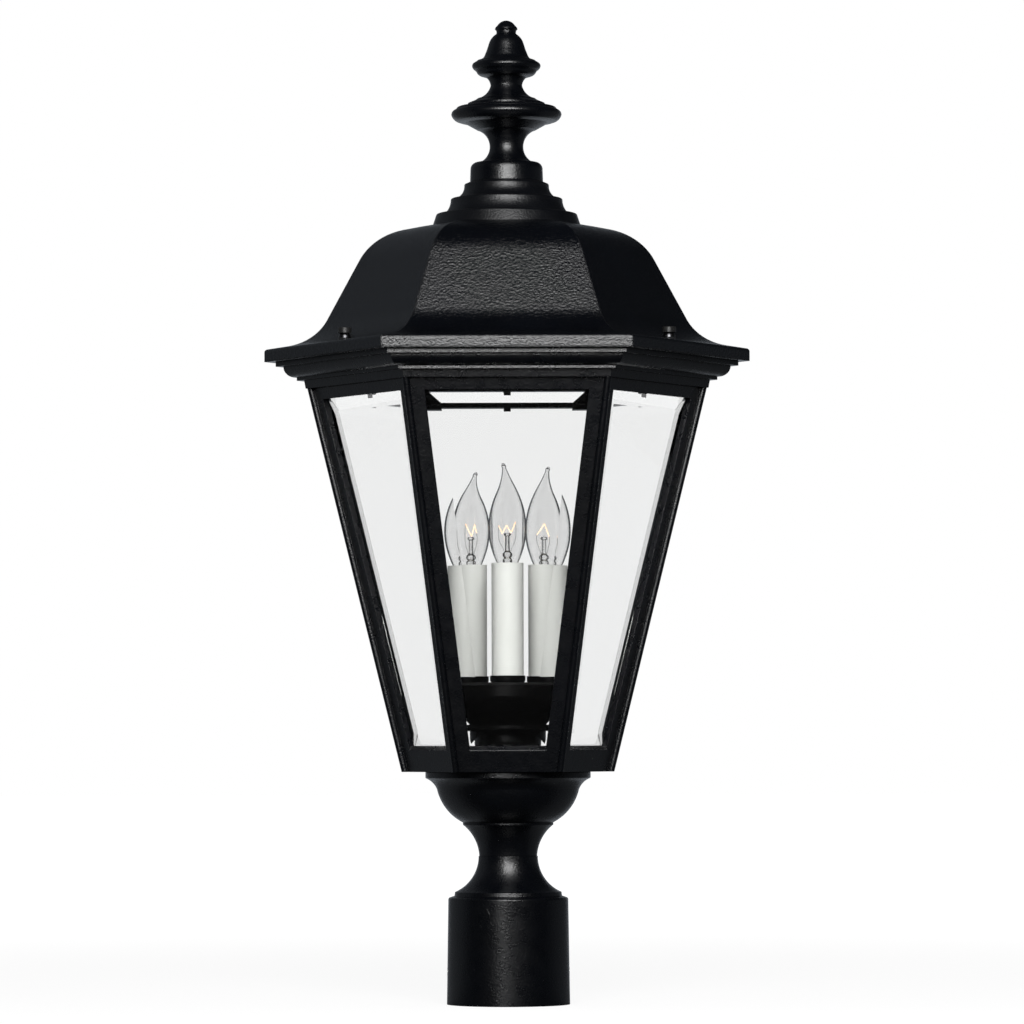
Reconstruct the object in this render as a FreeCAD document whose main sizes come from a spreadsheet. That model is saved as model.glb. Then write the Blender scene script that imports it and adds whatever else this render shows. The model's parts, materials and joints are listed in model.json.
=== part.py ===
import FreeCAD, Part
import math
import os
import re

import Sketcher

# Post top lantern: a six-sided tapered cage of bevelled glass on a round post fitter, with a
# swept roof, a turned finial and a cluster of three candle lights inside.
#
# Frame: origin at the centre of the post fitter's lower rim, +Z up, front face towards -Y.
# Flats of the hexagons face +Y and -Y, corners lie on +X and -X. Millimetres throughout.
# In an outline a station is (across, up) or (across, up, bulge). The bulge belongs to the stretch
# that leaves the station: 0 is straight, otherwise the tangent of a quarter of the arc's turn,
# positive when the arc turns anticlockwise.

VECTOR = FreeCAD.Vector
SIDES = 6
CANDLES = {"front": -90, "left": 150, "right": 30}
ROOF_SCREWS = {"right": -30, "rear": 90, "left": 210}
SET_SCREWS = {"right": 0, "rear": 90, "left": 180}
PANES = ["front", "front_right", "rear_right", "rear", "rear_left", "front_left"]

doc = FreeCAD.newDocument("post_top_lantern")
sheet = doc.addObject("Spreadsheet::Sheet", "dims")
aliases = []
sub_parts = []


# ---------------------------------------------------------------- sheet and sketch helpers

def cell(name, content):
    """One row of the sheet: the name in column A, the value in column B under that alias."""
    row = len(aliases) + 1
    sheet.set(f"A{row}", name)
    sheet.set(f"B{row}", content)
    sheet.setAlias(f"B{row}", name)
    aliases.append(name)


def dims(**sizes):
    for name, size in sizes.items():
        cell(name, str(size))


def worked_out(**formulas):
    for name, formula in formulas.items():
        cell(name, "=" + formula)


def mouldings(**stations):
    """Rows for the outside of a turned piece, from its foot up. A station holds its radius (a size or
    a formula), its rise from the one below, and the bulge of the stretch above it. Their outline
    stations are returned."""
    below = "0"
    for name, (radius, rise, _) in stations.items():
        record = worked_out if isinstance(radius, str) else dims
        record(**{name + "_r": radius})
        dims(**{name + "_rise": rise})
        worked_out(**{name + "_z": f"{below} + {name}_rise"})
        below = name + "_z"
    return [(name + "_r", name + "_z", bulge) for name, (_, _, bulge) in stations.items()]


def ref(formula):
    """The formula as other objects write it, with the sheet's name before each alias."""
    return re.sub(r"[a-z][a-z_0-9]*", lambda m: "dims." + m[0] if m[0] in aliases else m[0], formula)


def value(formula):
    found = sheet.evalExpression(ref(str(formula)))
    return float(getattr(found, "Value", found))


def bind(obj, prop, formula):
    obj.setExpression(prop, ref(str(formula)))


def origin_of(body, role):
    return next(f for f in body.Origin.OriginFeatures if f.Role == role)


def new_body(label, up="0", turn=0, out=None, bearing=0):
    """A body at height up, turned about Z, and moved out along a bearing if it stands off centre."""
    body = doc.addObject("PartDesign::Body", label)
    body.Label = label
    body.Placement = FreeCAD.Placement(VECTOR(), FreeCAD.Rotation(VECTOR(0, 0, 1), turn))
    bind(body, "Placement.Base.z", up)
    if out:
        bind(body, "Placement.Base.x", f"({out}) * cos({bearing} deg)")
        bind(body, "Placement.Base.y", f"({out}) * sin({bearing} deg)")
    sub_parts.append(body)
    return body


def new_sketch(body, name, role="XZ_Plane", lift="0", slide="0", lean=None):
    """A sketch on an origin plane, lifted off it, slid up it and leaning about its own X."""
    sketch = body.newObject("Sketcher::SketchObject", name)
    sketch.AttachmentSupport = (origin_of(body, role), [""])
    sketch.MapMode = "FlatFace"
    if lean:
        sketch.AttachmentOffset = FreeCAD.Placement(VECTOR(), FreeCAD.Rotation(VECTOR(1, 0, 0), 10))
        bind(sketch, "AttachmentOffset.Rotation.Angle", lean)
    bind(sketch, "AttachmentOffset.Base.y", slide)
    bind(sketch, "AttachmentOffset.Base.z", lift)
    return sketch


def pin_point(sketch, geometry, point, across, up, constraints, bound):
    for kind, formula in (("DistanceX", across), ("DistanceY", up)):
        bound.append((sketch.ConstraintCount + len(constraints), formula))
        constraints.append(Sketcher.Constraint(kind, -1, 1, geometry, point, value(formula)))


def close_off(sketch, constraints, bound):
    sketch.addConstraint(constraints)
    for number, formula in bound:
        bind(sketch, f"Constraints[{number}]", formula)


def outline(sketch, stations):
    """A closed outline through the stations, each pinned to its formulas."""
    first = sketch.GeometryCount
    count = len(stations)
    constraints, bound, bows = [], [], []
    points = [VECTOR(value(s[0]), value(s[1]), 0) for s in stations]
    for i, station in enumerate(stations):
        start, end = points[i], points[(i + 1) % count]
        bulge = station[2] if len(station) > 2 else 0
        if bulge:
            chord = end - start
            bow = VECTOR(chord.y, -chord.x, 0) * (bulge / 2)
            sketch.addGeometry(Part.Arc(start, (start + end) * 0.5 + bow, end), False)
            bows.append((first + i, station, stations[(i + 1) % count], bulge))
        else:
            sketch.addGeometry(Part.LineSegment(start, end), False)
    # an arc is stored anticlockwise, so one that bows the other way starts at its far end
    ends = []
    for i, station in enumerate(stations):
        backwards = len(station) > 2 and station[2] < 0
        ends.append((2, 1) if backwards else (1, 2))
    for i, station in enumerate(stations):
        after = (i + 1) % count
        constraints.append(Sketcher.Constraint("Coincident", first + i, ends[i][1],
                                               first + after, ends[after][0]))
        pin_point(sketch, first + i, ends[i][0], station[0], station[1], constraints, bound)
    for geometry, start, end, bulge in bows:
        chord = f"sqrt((({end[0]}) - ({start[0]}))^2 + (({end[1]}) - ({start[1]}))^2)"
        radius = f"{chord} * {(1 + bulge ** 2) / (4 * abs(bulge)):.9f}"
        bound.append((sketch.ConstraintCount + len(constraints), radius))
        constraints.append(Sketcher.Constraint("Radius", geometry, value(radius)))
    close_off(sketch, constraints, bound)


def circle(sketch, radius, across="0", up="0"):
    number = sketch.GeometryCount
    centre = VECTOR(value(across), value(up), 0)
    sketch.addGeometry(Part.Circle(centre, VECTOR(0, 0, 1), value(radius)), False)
    constraints, bound = [], []
    pin_point(sketch, number, 3, across, up, constraints, bound)
    bound.append((sketch.ConstraintCount + len(constraints), radius))
    constraints.append(Sketcher.Constraint("Radius", number, value(radius)))
    close_off(sketch, constraints, bound)


def ring_of_points(corner_r):
    return [(f"({corner_r}) * cos({60 * i} deg)", f"({corner_r}) * sin({60 * i} deg)")
            for i in range(SIDES)]


# ---------------------------------------------------------------- feature helpers

def feature(body, kind, name, sketch=None, **settings):
    made = body.newObject("PartDesign::" + kind, name)
    if sketch:
        made.Profile = sketch
    for prop, setting in settings.items():
        setattr(made, prop, setting)
    return made


def pad(body, name, sketch, length, **settings):
    made = feature(body, "Pad", name, sketch, **settings)
    bind(made, "Length", length)
    return made


def pocket(body, name, sketch, length, **settings):
    made = feature(body, "Pocket", name, sketch, **settings)
    bind(made, "Length", length)
    return made


def turned(body, name, stations):
    """A solid turned about Z from the outline of its half section."""
    profile = new_sketch(body, name + "_section")
    outline(profile, stations)
    return feature(body, "Revolution", name, profile, ReferenceAxis=(profile, ["V_Axis"]), Angle=360)


def round_bar(body, name, radius, length, lift="0", across="0", up="0"):
    profile = new_sketch(body, name + "_section", "XY_Plane", lift=lift)
    circle(profile, radius, across, up)
    return pad(body, name, profile, length)


def round_hole(body, name, radius, depth, lift="0", across="0", up="0"):
    """A round hole cut upwards from the height lift."""
    profile = new_sketch(body, name + "_section", "XY_Plane", lift=lift)
    circle(profile, radius, across, up)
    return pocket(body, name, profile, depth, Reversed=True)


def around(body, name, originals, occurrences):
    made = feature(body, "PolarPattern", name, Originals=originals, Angle=360,
                   Axis=(origin_of(body, "Z_Axis"), [""]), Occurrences=occurrences)
    body.Tip = made
    return made


def mitred(body, name, apothem, section):
    """The section swept round a hexagon, with mitred corners. It starts at the rear flat's middle."""
    path = new_sketch(body, name + "_path", "XY_Plane")
    corners = ring_of_points(f"({apothem}) / cos(30 deg)")
    middle = ("0", apothem)
    loop = [middle] + corners[2:] + corners[:2]
    outline(path, loop)
    profile = new_sketch(body, name + "_section", "YZ_Plane")
    outline(profile, section)
    made = feature(body, "AdditivePipe", name, profile, Transition="Right corner")
    made.Spine = (path, [])
    return made


def lofted(body, name, kind, first, last, **settings):
    return feature(body, kind, name, first, Sections=[last], Ruled=True, **settings)


# ---------------------------------------------------------------- driving dimensions

# fits and fasteners
dims(
    slip=0.2,                   # radial clearance round rods in the pieces they clamp
    sliding_gap=0.3,            # between the solids of pieces that come apart
    nipple_r=5.1,
    nipple_bore_r=3.6,
    nipple_end=1.6,             # how far the nipple stands out of its end nuts
    locknut_flats=14.3,
    locknut_height=3.2,
    nipple_washer_r=11.2,
    nipple_washer=1.6,
    edge_break=0.4,
)

# post fitter
dims(
    post_bore_r=38.9,
    post_socket_depth=70.0,
    fitter_cavity_r=24.0,
    fitter_cavity_depth=10.0,
    set_screw_r=3.1,
    set_screw_length=3.2,
    set_screw_height=22.0,
    set_screw_socket_r=1.6,
    set_screw_slip=0.05,
    skirt_wall=3.5,
    skirt_head_wall=2.45,
    tread_setback=1.05,
    ledge_setback=3.2,
)
FITTER_OUTSIDE = mouldings(
    skirt_foot=("post_bore_r + skirt_wall", 0, 0),
    skirt_head=("post_bore_r + skirt_head_wall", 72.2, 0.3),
    tread=("skirt_head_r - tread_setback", 1.3, 0),
    ledge_foot=("tread_r - ledge_setback", 1.1, 0),
    ledge=(36.7, 2.6, -0.3),
    fitter_waist=(20.4, 24.7, 0),
)

# bell between fitter and cage
dims(
    bell_wall=5.0,
    bell_cavity_depth=29.5,
    bell_cavity_inset=10.0,
)
BELL_OUTSIDE = mouldings(
    bell_waist=(19.9, 0, -0.215),
    bell_throat=(31.2, 21.6, 0),
    bell_fillet=(31.2, 1.5, 0.225),
    bell_shoulder=(49.0, 22.9, -0.2),
    bell_flare=(56.2, 7.4, 0),
    bell_lip=(57.0, 0.5, 0),
    bell_rim=(57.0, 3.7, 0.3),
    bell_top=(56.6, 0.4, 0),
)

# six-sided cage
dims(
    cage_height=265.1,
    cage_foot_corner_r=69.6,
    cage_head_corner_r=134.4,
    cage_floor=4.0,
    face_wall=4.0,              # metal in front of the glass
    glass_thickness=4.0,
    bottom_rail=17.5,
    top_rail=8.2,
    stile=10.9,
    glass_lap=3.0,
    glass_clearance=0.4,
    bevel_width=12.7,
    bevel_drop=1.35,
    sill_drop=2.4,
    sill_depth=3.2,
    bead_r=2.4,
    bead_stand_off=1.4,
)

# crown: frieze and cornice, each moulding out from the one below
dims(
    crown_lap=8.4,              # of the crown onto the cage's rim
    frieze_proud=4.3,
    frieze_flare=0.9,
    frieze_height=5.4,
    fillet_proud=4.4,
    fillet_height=2.2,
    ovolo_reach=8.0,
    ovolo_height=7.6,
    cornice_proud=4.65,
    cornice_height=3.2,
    crown_flange=4.0,
    crown_seat_width=16.4,
    crown_screw_inset=6.0,
    crown_screw_r=1.9,
    crown_screw_depth=8.0,
    crown_screw_head_r=3.4,
    crown_screw_head=2.6,
)

# roof: insets run in from the eave, rises up from the lip's foot and falls down from the top
dims(
    eave_overhang=6.75,         # beyond the cornice
    eave_height=8.8,
    eave_round=2.0,
    flare_foot_inset=13.8,
    flare_foot_rise=10.9,
    flare_head_inset=37.4,
    flare_head_rise=28.6,
    shoulder_foot_inset=56.9,
    shoulder_foot_fall=23.7,
    shoulder_head_inset=83.2,
    shoulder_head_fall=2.3,
    plateau_inset=93.9,
    roof_height=93.8,
    roof_wall=4.0,
    hub_r=36.0,
    roof_screw_inset=11.15,     # in from the cornice
    roof_screw_r=2.4,
    roof_screw_head_r=4.65,
    roof_screw_head=3.8,
    driver_slot=1.0,
    driver_slot_depth=1.3,
    roof_screw_depth=7.7,
    roof_screw_seat=12.0,
    roof_boss_r=4.6,
    spot_face_r=5.4,
    dome_r=4.2,
    dome_top_r=3.0,
    dome_height=3.4,
)

# stepped base and finial
dims(
    stud_r=3.9,
    stud_reach=20.0,
    stud_below_hub=12.0,
    stud_nut_flats=12.7,
    stud_nut_height=5.0,
    stud_washer_r=9.0,
    stud_washer=1.4,
    seat_rise=1.3,              # from the top step's edge up to the finial's foot
)
STEPS = mouldings(
    low_riser=(51.4, 0, 0),
    low_nosing=(48.9, 7.4, 0.3),
    low_tread=(48.0, 0.9, 0),
    middle_riser=(42.4, 1.0, -0.2),
    middle_nosing=(38.7, 9.0, 0.3),
    middle_tread=(37.8, 0.8, 0),
    top_riser=(34.3, 0.6, -0.3),
    top_nosing=(29.3, 8.7, 0.3),
    top_tread=(28.4, 1.0, 0),
)
FINIAL_OUTSIDE = mouldings(
    collar_foot=(25.3, 0, 0),
    collar_edge=(25.0, 9.1, 0.3),
    collar_crown=(22.0, 4.2, 0),
    stem_foot=(17.3, 1.0, -0.3),
    stem_waist=(11.75, 11.9, -0.3),
    dish_foot=(20.5, 10.1, 0),
    dish_fillet=(21.7, 0.7, 0),
    dish_edge=(28.8, 4.0, 0),
    disc_under=(32.6, 0.7, 0),
    disc_foot=(34.7, 0.7, 0.2),
    disc_edge=(38.2, 4.2, 0.3),
    disc_round=(36.3, 3.3, 0),
    disc_step=(34.9, 0.7, 0.3),
    disc_top=(33.2, 1.6, 0),
    cap_edge=(26.9, 1.1, 0.2),
    cap_top=(26.6, 1.5, 0),
    cone_foot=(21.8, 2.0, 0),
    cone_top=(20.1, 1.2, -0.28),
    neck_waist=(10.95, 8.9, -0.22),
    neck_head=(13.9, 5.8, 0),
    ball_under=(17.2, 1.0, 0.25),
    ball_fillet=(20.8, 3.1, 0),
    ball_foot=(21.7, 0.9, 0.2),
    ball_edge=(23.75, 2.7, 0.3),
    ball_round=(22.5, 2.5, 0),
    ball_top=(20.8, 1.0, 0),
    spire_seat=(20.0, 0.7, 0),
    spire_flange=(17.7, 0.7, 0),
    spire_foot=(16.2, 0.9, 0),
    spire_base=(15.3, 1.2, 0),
    spire_waist=(13.4, 4.7, 0),
    spire_bow=(12.0, 4.4, 0.17),
    spire_top=(7.4, 6.2, 0),
    button_neck=(6.7, 0.8, 0),
    button_under=(6.9, 1.7, 0),
    button_brim=(7.9, 1.1, 0),
    brim_top=(7.5, 1.2, 0),
)
dims(
    button_r=6.0,
    button_foot_rise=1.6,
    button_rise=3.3,
)

# candle cluster
dims(
    pedestal_foot_r=20.0,
    pedestal_r=23.0,
    pedestal_waist=13.2,
    pedestal_swell=5.5,
    pedestal_height=24.7,
    pedestal_wall=2.0,
    flange_r=31.0,
    flange_thickness=4.2,
    bowl_foot_r=23.0,
    bowl_waist_r=26.6,
    bowl_waist_rise=4.3,
    drum_r=43.5,
    bowl_height=19.2,
    drum_height=7.5,
    drum_wall=2.0,
    bowl_floor=3.0,
    cover_thickness=2.0,
    cover_spigot=2.0,
    candle_circle_r=29.2,
    cup_wall=1.1,
    cup_height=4.6,
    cup_floor=2.1,
    sleeve_r=11.0,
    sleeve_wall=1.2,
    sleeve_length=79.7,
    riser_below_cover=8.0,
    riser_nut_flats=14.0,
    riser_nut_height=2.6,
    socket_gap=0.4,
    socket_below_sleeve=2.0,
    socket_length=34.0,
    socket_floor=15.0,
    socket_mouth_gap=0.9,       # round the envelope's neck
    socket_mouth_depth=4.0,
    shell_wall=0.5,
    shell_gap=0.5,              # between the screw shell and the bulb's base
    shell_length=16.0,
    socket_grip=6.0,
    lead_r=0.9,
    lead_tail=4.0,
)

# bulbs
dims(
    bulb_base_r=6.0,
    bulb_base_length=17.0,
    bulb_base_cone=3.6,
    bulb_contact_r=2.4,
    bulb_contact_length=1.5,
    bulb_neck_r=7.5,
    bulb_neck_rise=2.4,
    bulb_wall=0.6,
    bulb_belly_r=13.0,
    bulb_belly_rise=26.5,
    bulb_shoulder_r=9.2,
    bulb_shoulder_rise=43.0,
    bulb_tip_r=2.6,
    bulb_tip_rise=62.0,
    bulb_tip_end_r=0.9,
    bulb_length=71.5,
    bulb_tip_bend=4.0,
    stem_flare_r=4.6,
    stem_rod_r=1.2,
    stem_flare_rise=9.5,
    stem_rod_rise=22.5,
    filament_wire_r=0.3,
    filament_span=3.4,
    filament_rise=24.0,
    filament_height=7.0,
)

# glass clips
dims(
    clip_width=5.0,
    clip_thickness=1.0,
    clip_overhang=3.6,
    flat_clip_setback=0.5,
    clip_hook=5.0,
    clip_screw_r=1.2,
    clip_screw_depth=5.5,
    clip_screw_head_r=2.3,
    clip_screw_head=1.4,
    clip_screw_inset=2.3,
)

# heights of the stacked pieces, and the lines that several pieces share
worked_out(
    cage_z="fitter_waist_z + bell_top_z",
    crown_z="cage_z + cage_height",
    crown_height="frieze_height + fillet_height + ovolo_height + cornice_height",
    roof_z="crown_z + crown_height",
    base_z="roof_z + roof_height",
    base_height="top_tread_z + seat_rise",
    finial_z="base_z + base_height",
    cage_foot_out="cage_foot_corner_r * cos(30 deg)",
    cage_head_out="cage_head_corner_r * cos(30 deg)",
    crown_inner="cage_head_out - crown_lap",
    frieze_foot="cage_head_out + frieze_proud",
    frieze_head="frieze_foot + frieze_flare",
    fillet_out="frieze_head + fillet_proud",
    ovolo_out="fillet_out + ovolo_reach",
    cornice_out="ovolo_out + cornice_proud",
    eave_out="cornice_out + eave_overhang",
    flare_foot_out="eave_out - flare_foot_inset",
    flare_head_out="eave_out - flare_head_inset",
    shoulder_foot_out="eave_out - shoulder_foot_inset",
    shoulder_foot_rise="roof_height - shoulder_foot_fall",
    shoulder_head_out="eave_out - shoulder_head_inset",
    shoulder_head_rise="roof_height - shoulder_head_fall",
    plateau_out="eave_out - plateau_inset",
    roof_screw_circle_r="cornice_out - roof_screw_inset",
    lean="atan((cage_head_out - cage_foot_out) / cage_height)",
    slant="cage_height / cos(lean)",
    side_flare="(cage_head_corner_r - cage_foot_corner_r) / 2 / slant",
    frame_depth="face_wall + glass_thickness",
    inner_cut="frame_depth / cos(lean) / cos(30 deg)",
    flare_slope="atan((flare_foot_rise - eave_height) / (eave_out - eave_round - flare_foot_out))",
    side_slope="atan((shoulder_foot_rise - flare_head_rise) / (flare_head_out - shoulder_foot_out))",
    plateau_slope="atan((roof_height - shoulder_head_rise) / (shoulder_head_out - plateau_out))",
    fitter_ceiling="post_socket_depth + fitter_cavity_depth",
    lower_nut_z="fitter_ceiling - nipple_washer - locknut_height",
    nipple_z="lower_nut_z - nipple_end",
    nipple_hole_r="nipple_r + slip",
    stud_hole_r="stud_r + slip",
    cluster_z="cage_z + cage_floor",
    flange_z="cluster_z + pedestal_height",
    bowl_z="flange_z + flange_thickness",
    cover_z="bowl_z + bowl_height + drum_height",
    cup_z="cover_z + cover_thickness",
    sleeve_z="cup_z + cup_floor",
    sleeve_top_z="sleeve_z + sleeve_length",
    socket_z="sleeve_top_z - socket_below_sleeve - socket_length",
    cup_r="sleeve_r + slip / 2 + cup_wall",
    socket_r="sleeve_r - sleeve_wall - socket_gap",
    socket_bore_r="bulb_base_r + shell_wall + shell_gap",
    socket_mouth_r="bulb_neck_r + socket_mouth_gap",
    bulb_z="socket_z + socket_floor + bulb_contact_length + sliding_gap",
    glass_z="bulb_z + bulb_base_length",
    screw_seat_z="roof_z + roof_screw_seat",
    clip_screw_line="bottom_rail - glass_lap - glass_clearance - clip_screw_inset",
    hook_in="cage_head_out - (frame_depth + clip_thickness) / cos(lean) - slip",
    hook_out="cage_head_out - frame_depth / cos(lean) + clip_hook",
)

doc.recompute()


# ---------------------------------------------------------------- post fitter and bell

def post_fitter():
    body = new_body("post_fitter")
    turned(body, "fitter", [("post_bore_r", "0")] + FITTER_OUTSIDE + [
        ("nipple_hole_r", "fitter_waist_z"),
        ("nipple_hole_r", "fitter_ceiling"),
        ("fitter_cavity_r", "fitter_ceiling"),
        ("fitter_cavity_r", "post_socket_depth"),
        ("post_bore_r", "post_socket_depth"),
    ])
    # tapped holes for the set screws, right, rear and left
    hole = new_sketch(body, "set_screw_hole_section", "XZ_Plane", lift="0")
    circle(hole, "set_screw_r + set_screw_slip", "0", "set_screw_height")
    pocket(body, "rear_screw_hole", hole, "skirt_foot_r")
    side = new_sketch(body, "side_screw_hole_section", "YZ_Plane", lift="0")
    circle(side, "set_screw_r + set_screw_slip", "0", "set_screw_height")
    pocket(body, "side_screw_holes", side, "skirt_foot_r * 2", Midplane=True)


def set_screw(name, bearing):
    """A grub screw that fills the skirt's wall, its axis along X before it is turned."""
    body = new_body("set_screw_" + name, "set_screw_height", turn=bearing)
    profile = new_sketch(body, name + "_shank_section", "YZ_Plane", lift="post_bore_r")
    circle(profile, "set_screw_r")
    pad(body, name + "_shank", profile, "set_screw_length")
    recess = new_sketch(body, name + "_recess_section", "YZ_Plane",
                        lift="post_bore_r + set_screw_length")
    outline(recess, ring_of_points("set_screw_socket_r"))
    pocket(body, name + "_recess", recess, "set_screw_length / 2")


def neck_bell():
    body = new_body("neck_bell", "fitter_waist_z")
    cavity_z = "bell_top_z - bell_cavity_depth"
    turned(body, "bell", [("nipple_hole_r", "0")] + BELL_OUTSIDE + [
        ("bell_shoulder_r - bell_wall", "bell_top_z"),
        ("bell_shoulder_r - bell_wall", "bell_shoulder_z"),
        ("bell_throat_r - bell_cavity_inset", cavity_z),
        ("nipple_hole_r", cavity_z),
    ])


def ring_nut(label, z, flats, height, hole_r, out=None, bearing=0):
    body = new_body(label, z, out=out, bearing=bearing)
    profile = new_sketch(body, label + "_section", "XY_Plane")
    outline(profile, ring_of_points(f"({flats}) / 2 / cos(30 deg)"))
    circle(profile, hole_r)
    pad(body, label + "_pad", profile, height)
    return body


def washer(label, z, outer_r, hole_r, thickness):
    body = new_body(label, z)
    profile = new_sketch(body, label + "_section", "XY_Plane")
    circle(profile, outer_r)
    circle(profile, hole_r)
    pad(body, label + "_pad", profile, thickness)


def tube(label, z, outer_r, bore_r, length, out=None, bearing=0):
    body = new_body(label, z, out=out, bearing=bearing)
    profile = new_sketch(body, label + "_section", "XY_Plane")
    circle(profile, outer_r)
    circle(profile, bore_r)
    pad(body, label + "_pad", profile, length)


def rod(label, z, radius, length):
    body = new_body(label, z)
    round_bar(body, label + "_bar", radius, length)


# ---------------------------------------------------------------- cage, glass and clips

def cage_section(sketch, corner_r):
    """A hexagon whose corners carry round beads. The bead meets each flat in a sharp quirk."""
    bead, stand_off = value("bead_r"), value("bead_stand_off")
    quirk = (math.sqrt(4 * bead ** 2 - 3 * stand_off ** 2) - stand_off) / 2
    half_chord = quirk * math.cos(math.radians(30))
    wrap = 2 * math.pi - 2 * math.asin(half_chord / bead)
    meet = "((sqrt(4 * bead_r^2 - 3 * bead_stand_off^2) - bead_stand_off) / 2)"
    stations = []
    for i in range(SIDES):
        corner = f"({corner_r})"
        before, after = 60 * i - 120, 60 * i + 120
        for turn, bulge in ((before, math.tan(wrap / 4)), (after, 0)):
            stations.append((f"{corner} * cos({60 * i} deg) + {meet} * cos({turn} deg)",
                             f"{corner} * sin({60 * i} deg) + {meet} * sin({turn} deg)", bulge))
    outline(sketch, stations)


def trapezium(sketch, low, high, side_inset):
    """A trapezium on a cage face, between two lines up the slant, inset from the cage's corners."""
    half = "(cage_foot_corner_r / 2 + side_flare * ({0}) - ({1}))"
    outline(sketch, [
        ("-" + half.format(low, side_inset), low),
        (half.format(low, side_inset), low),
        (half.format(high, side_inset), high),
        ("-" + half.format(high, side_inset), high),
    ])


def face_sketch(body, name, depth):
    """A sketch on the front face's plane, or parallel to it at a depth below it."""
    return new_sketch(body, name, "XZ_Plane", lean="lean", slide=f"({depth}) * sin(lean)",
                      lift=f"cage_foot_out - ({depth}) * cos(lean)")


def on_face(along, depth):
    """A point of the front face's middle section: along the slant, at a depth below the face."""
    return (f"-(cage_foot_out + ({along}) * sin(lean) - ({depth}) * cos(lean))",
            f"({along}) * cos(lean) + ({depth}) * sin(lean)")


def lantern_cage():
    body = new_body("lantern_cage", "cage_z")
    foot = new_sketch(body, "cage_foot", "XY_Plane")
    cage_section(foot, "cage_foot_corner_r")
    head = new_sketch(body, "cage_head", "XY_Plane", lift="cage_height")
    cage_section(head, "cage_head_corner_r")
    lofted(body, "cage_outside", "AdditiveLoft", foot, head)

    rise = "(cage_head_corner_r - cage_foot_corner_r) / cage_height"
    inner_foot = new_sketch(body, "inner_foot", "XY_Plane", lift="cage_floor")
    outline(inner_foot, ring_of_points(f"cage_foot_corner_r + cage_floor * {rise} - inner_cut"))
    inner_head = new_sketch(body, "inner_head", "XY_Plane", lift="cage_height")
    outline(inner_head, ring_of_points("cage_head_corner_r - inner_cut"))
    lofted(body, "cage_inside", "SubtractiveLoft", inner_foot, inner_head)

    window = face_sketch(body, "window_outline", "0")
    trapezium(window, "bottom_rail", "slant - top_rail", "stile")
    window_cut = pocket(body, "window", window, "frame_depth * 1.5")

    rebate = face_sketch(body, "rebate_outline", "face_wall")
    trapezium(rebate, "bottom_rail - glass_lap - glass_clearance",
              "slant - top_rail + glass_lap + glass_clearance",
              "stile - glass_lap - glass_clearance")
    rebate_cut = pocket(body, "rebate", rebate, "glass_thickness * 1.5")

    sill = new_sketch(body, "sill_section", "YZ_Plane")
    outline(sill, [
        on_face("bottom_rail - sill_drop", "0"),
        on_face("bottom_rail", "sill_depth"),
        on_face("bottom_rail", "-sill_depth"),
        on_face("bottom_rail - sill_drop", "-sill_depth"),
    ])
    sill_cut = pocket(body, "sill", sill, "cage_foot_corner_r + 2 * (side_flare * bottom_rail - stile)",
                      Midplane=True)
    around(body, "faces", [window_cut, rebate_cut, sill_cut], SIDES)

    round_hole(body, "nipple_hole", "nipple_hole_r", "cage_floor * 2", lift="-cage_floor / 2")
    screw_hole = round_hole(body, "crown_screw_hole", "crown_screw_r", "crown_screw_depth * 2",
                            lift="cage_height - crown_screw_depth - slip",
                            across="cage_head_corner_r - crown_screw_inset")
    around(body, "crown_screw_holes", [screw_hole], SIDES // 2)

    clip_hole = face_sketch(body, "clip_hole_section", "frame_depth - clip_screw_depth - slip")
    circle(clip_hole, "clip_screw_r", "0", "clip_screw_line")
    hole_cut = pocket(body, "clip_hole", clip_hole, "frame_depth")
    slot = new_sketch(body, "hook_slot_section", "YZ_Plane")
    outline(slot, [
        ("-hook_in", "cage_height - clip_thickness"),
        ("-hook_out - slip", "cage_height - clip_thickness"),
        ("-hook_out - slip", "cage_height * 2"),
        ("-hook_in", "cage_height * 2"),
    ])
    slot_cut = pocket(body, "hook_slot", slot, "clip_width + slip * 2", Midplane=True)
    around(body, "clip_seats", [hole_cut, slot_cut], SIDES)


def glass_pane(name, turn):
    """Plate glass with a wide bevel ground on its outer face."""
    body = new_body("glass_pane_" + name, "cage_z", turn=turn)
    low, high = "bottom_rail - glass_lap", "slant - top_rail + glass_lap"
    inset = "stile - glass_lap"
    back = face_sketch(body, name + "_back", "frame_depth")
    trapezium(back, low, high, inset)
    pad(body, name + "_plate", back, "glass_thickness - bevel_drop")
    edge = face_sketch(body, name + "_edge", "face_wall + bevel_drop")
    trapezium(edge, low, high, inset)
    flat = face_sketch(body, name + "_flat", "face_wall")
    trapezium(flat, f"{low} + bevel_width", f"{high} - bevel_width",
              f"{inset} + bevel_width * sqrt(1 + side_flare^2)")
    lofted(body, name + "_bevel", "AdditiveLoft", edge, flat)


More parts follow.
